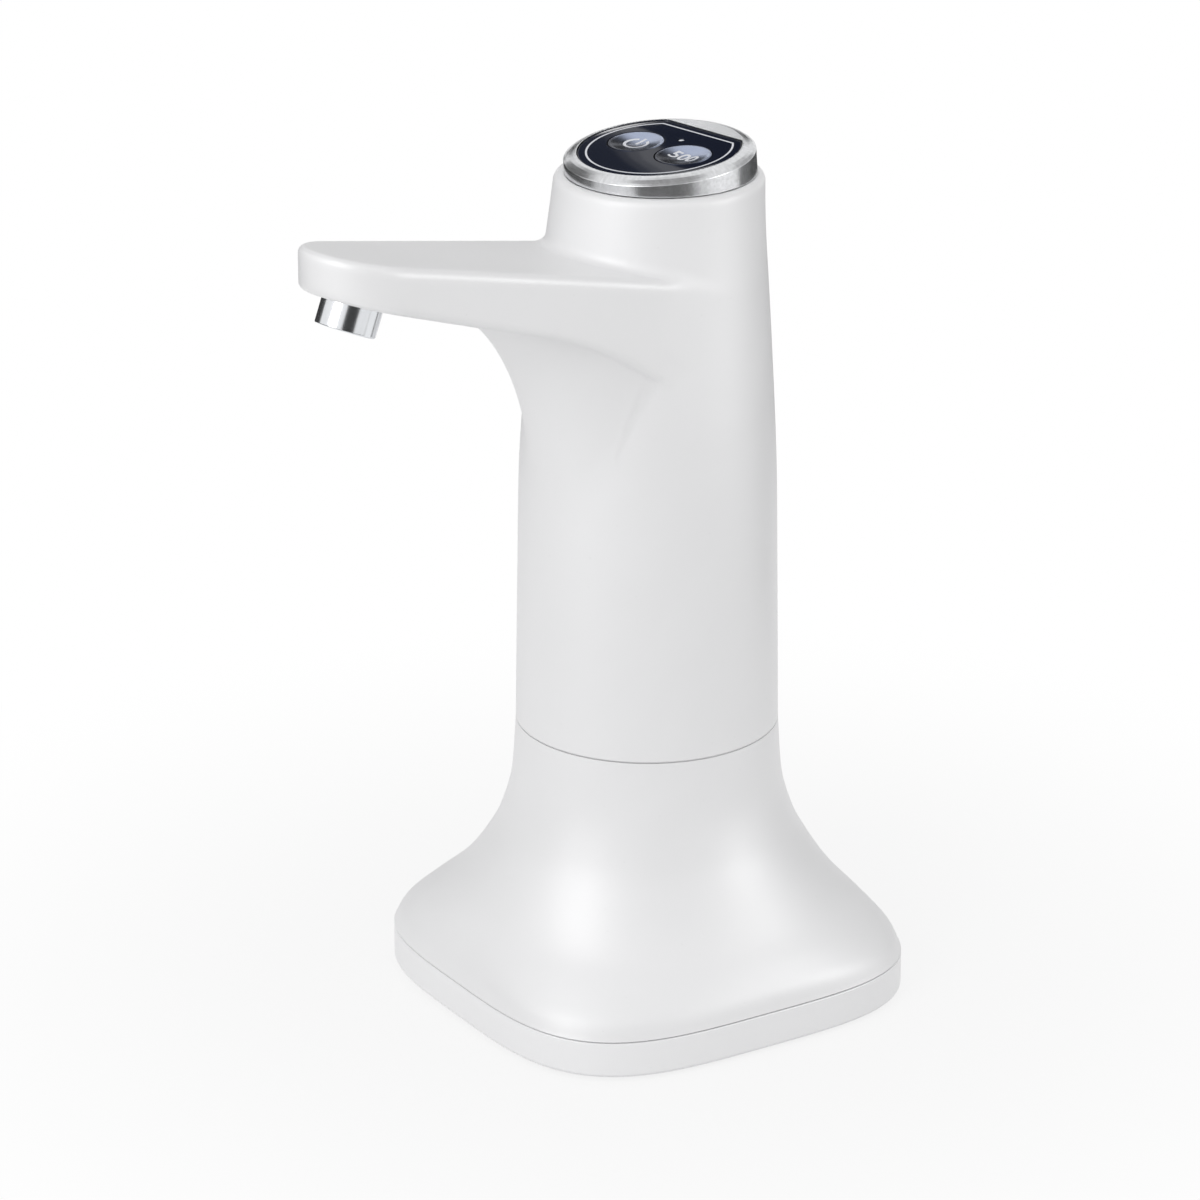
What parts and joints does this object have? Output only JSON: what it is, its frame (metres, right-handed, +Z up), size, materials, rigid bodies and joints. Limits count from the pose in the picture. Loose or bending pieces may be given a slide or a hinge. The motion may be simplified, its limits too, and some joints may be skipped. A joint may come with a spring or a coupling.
{
  "type": "water jug pump",
  "caption": "Rechargeable pump for a water jug: white column with a slanting spout arm, chrome nozzle, tilted button top and a flared base that the head lifts off.",
  "frame": {"origin": "centre of the rubber pad under the base", "axes": "+Z up the column; the base is square to X and Y; the spout points 11.3 degrees from +X towards +Y"},
  "size_m": [0.1882, 0.132, 0.2567],
  "materials": {
    "shell_white": "glossy moulded",
    "band_white": "glossy moulded",
    "inner_white": "moulded",
    "trim_steel": "brushed around its axis",
    "nozzle_chrome": "polished",
    "plain_steel": "plated",
    "inlet_brass": "machined",
    "panel_navy": "polished",
    "button_blue": "polished",
    "light_lens": "clear",
    "dark_rubber": "matte",
    "clear_silicone": "translucent",
    "black_plastic": "moulded",
    "board_green": "lacquered board",
    "cell_blue": "sleeved",
    "lead_red": "insulated lead"
  },
  "bodies": {
    "base": {"foot_pad": "dark_rubber", "base_tray": "band_white", "base_shell": "shell_white", "base_screw_1": "plain_steel", "base_screw_2": "plain_steel", "base_screw_3": "plain_steel", "base_screw_4": "plain_steel"},
    "seat": {"seat_ring": "dark_rubber"},
    "head": {"body_shell": "shell_white", "bottom_cap": "inner_white", "cap_screw_1": "plain_steel", "cap_screw_2": "plain_steel", "cap_screw_3": "plain_steel", "inlet_fitting": "clear_silicone", "inlet_nut": "inlet_brass", "inlet_hose": "clear_silicone", "inner_frame": "inner_white", "battery_cell": "cell_blue", "pump_cover": "black_plastic", "valve_plate": "clear_silicone", "pump_diaphragm": "dark_rubber", "pump_housing": "black_plastic", "pump_screw_1": "plain_steel", "pump_screw_2": "plain_steel", "pump_screw_3": "plain_steel", "pump_screw_4": "plain_steel", "motor_can": "plain_steel", "motor_end_cap": "black_plastic", "outlet_hose": "clear_silicone", "nozzle_elbow": "inner_white", "nozzle_seal": "dark_rubber", "nozzle": "nozzle_chrome", "flow_insert": "inner_white", "charge_board": "board_green", "charge_socket": "plain_steel", "trim_ring": "trim_steel", "ring_gasket": "dark_rubber", "touch_panel": "panel_navy", "panel_carrier": "black_plastic", "power_switch": "black_plastic", "volume_switch": "black_plastic", "control_board": "board_green", "indicator_light": "light_lens", "motor_lead": "lead_red", "battery_lead": "lead_red", "charge_lead": "lead_red"},
    "rotor": {"motor_rotor": "plain_steel", "pump_cam": "inner_white"},
    "power_key": {"power_button": "button_blue"},
    "volume_key": {"volume_button": "button_blue"}
  },
  "joints": [
    {"name": "head_swivel", "type": "hinge", "parent": "base", "child": "seat", "pos_m": [0, 0, 0.0753], "axis": [0, 0, 1], "range_deg": [-120, 120]},
    {"name": "head_lift", "type": "slide", "parent": "seat", "child": "head", "axis": [0, 0, 1], "range_m": [0, 0.03]},
    {"name": "motor_spin", "type": "hinge", "parent": "head", "child": "rotor", "pos_m": [-0.00274, 0.01373, 0.15], "axis": [0, 0, 1], "continuous": true},
    {"name": "power_button_press", "type": "slide", "parent": "head", "child": "power_key", "axis": [-0.0872, -0.0174, -0.996], "range_m": [0, 0.0008], "stiffness_N_per_m": 1500},
    {"name": "volume_button_press", "type": "slide", "parent": "head", "child": "volume_key", "axis": [-0.0872, -0.0174, -0.996], "range_m": [0, 0.0008], "stiffness_N_per_m": 1500}
  ]
}
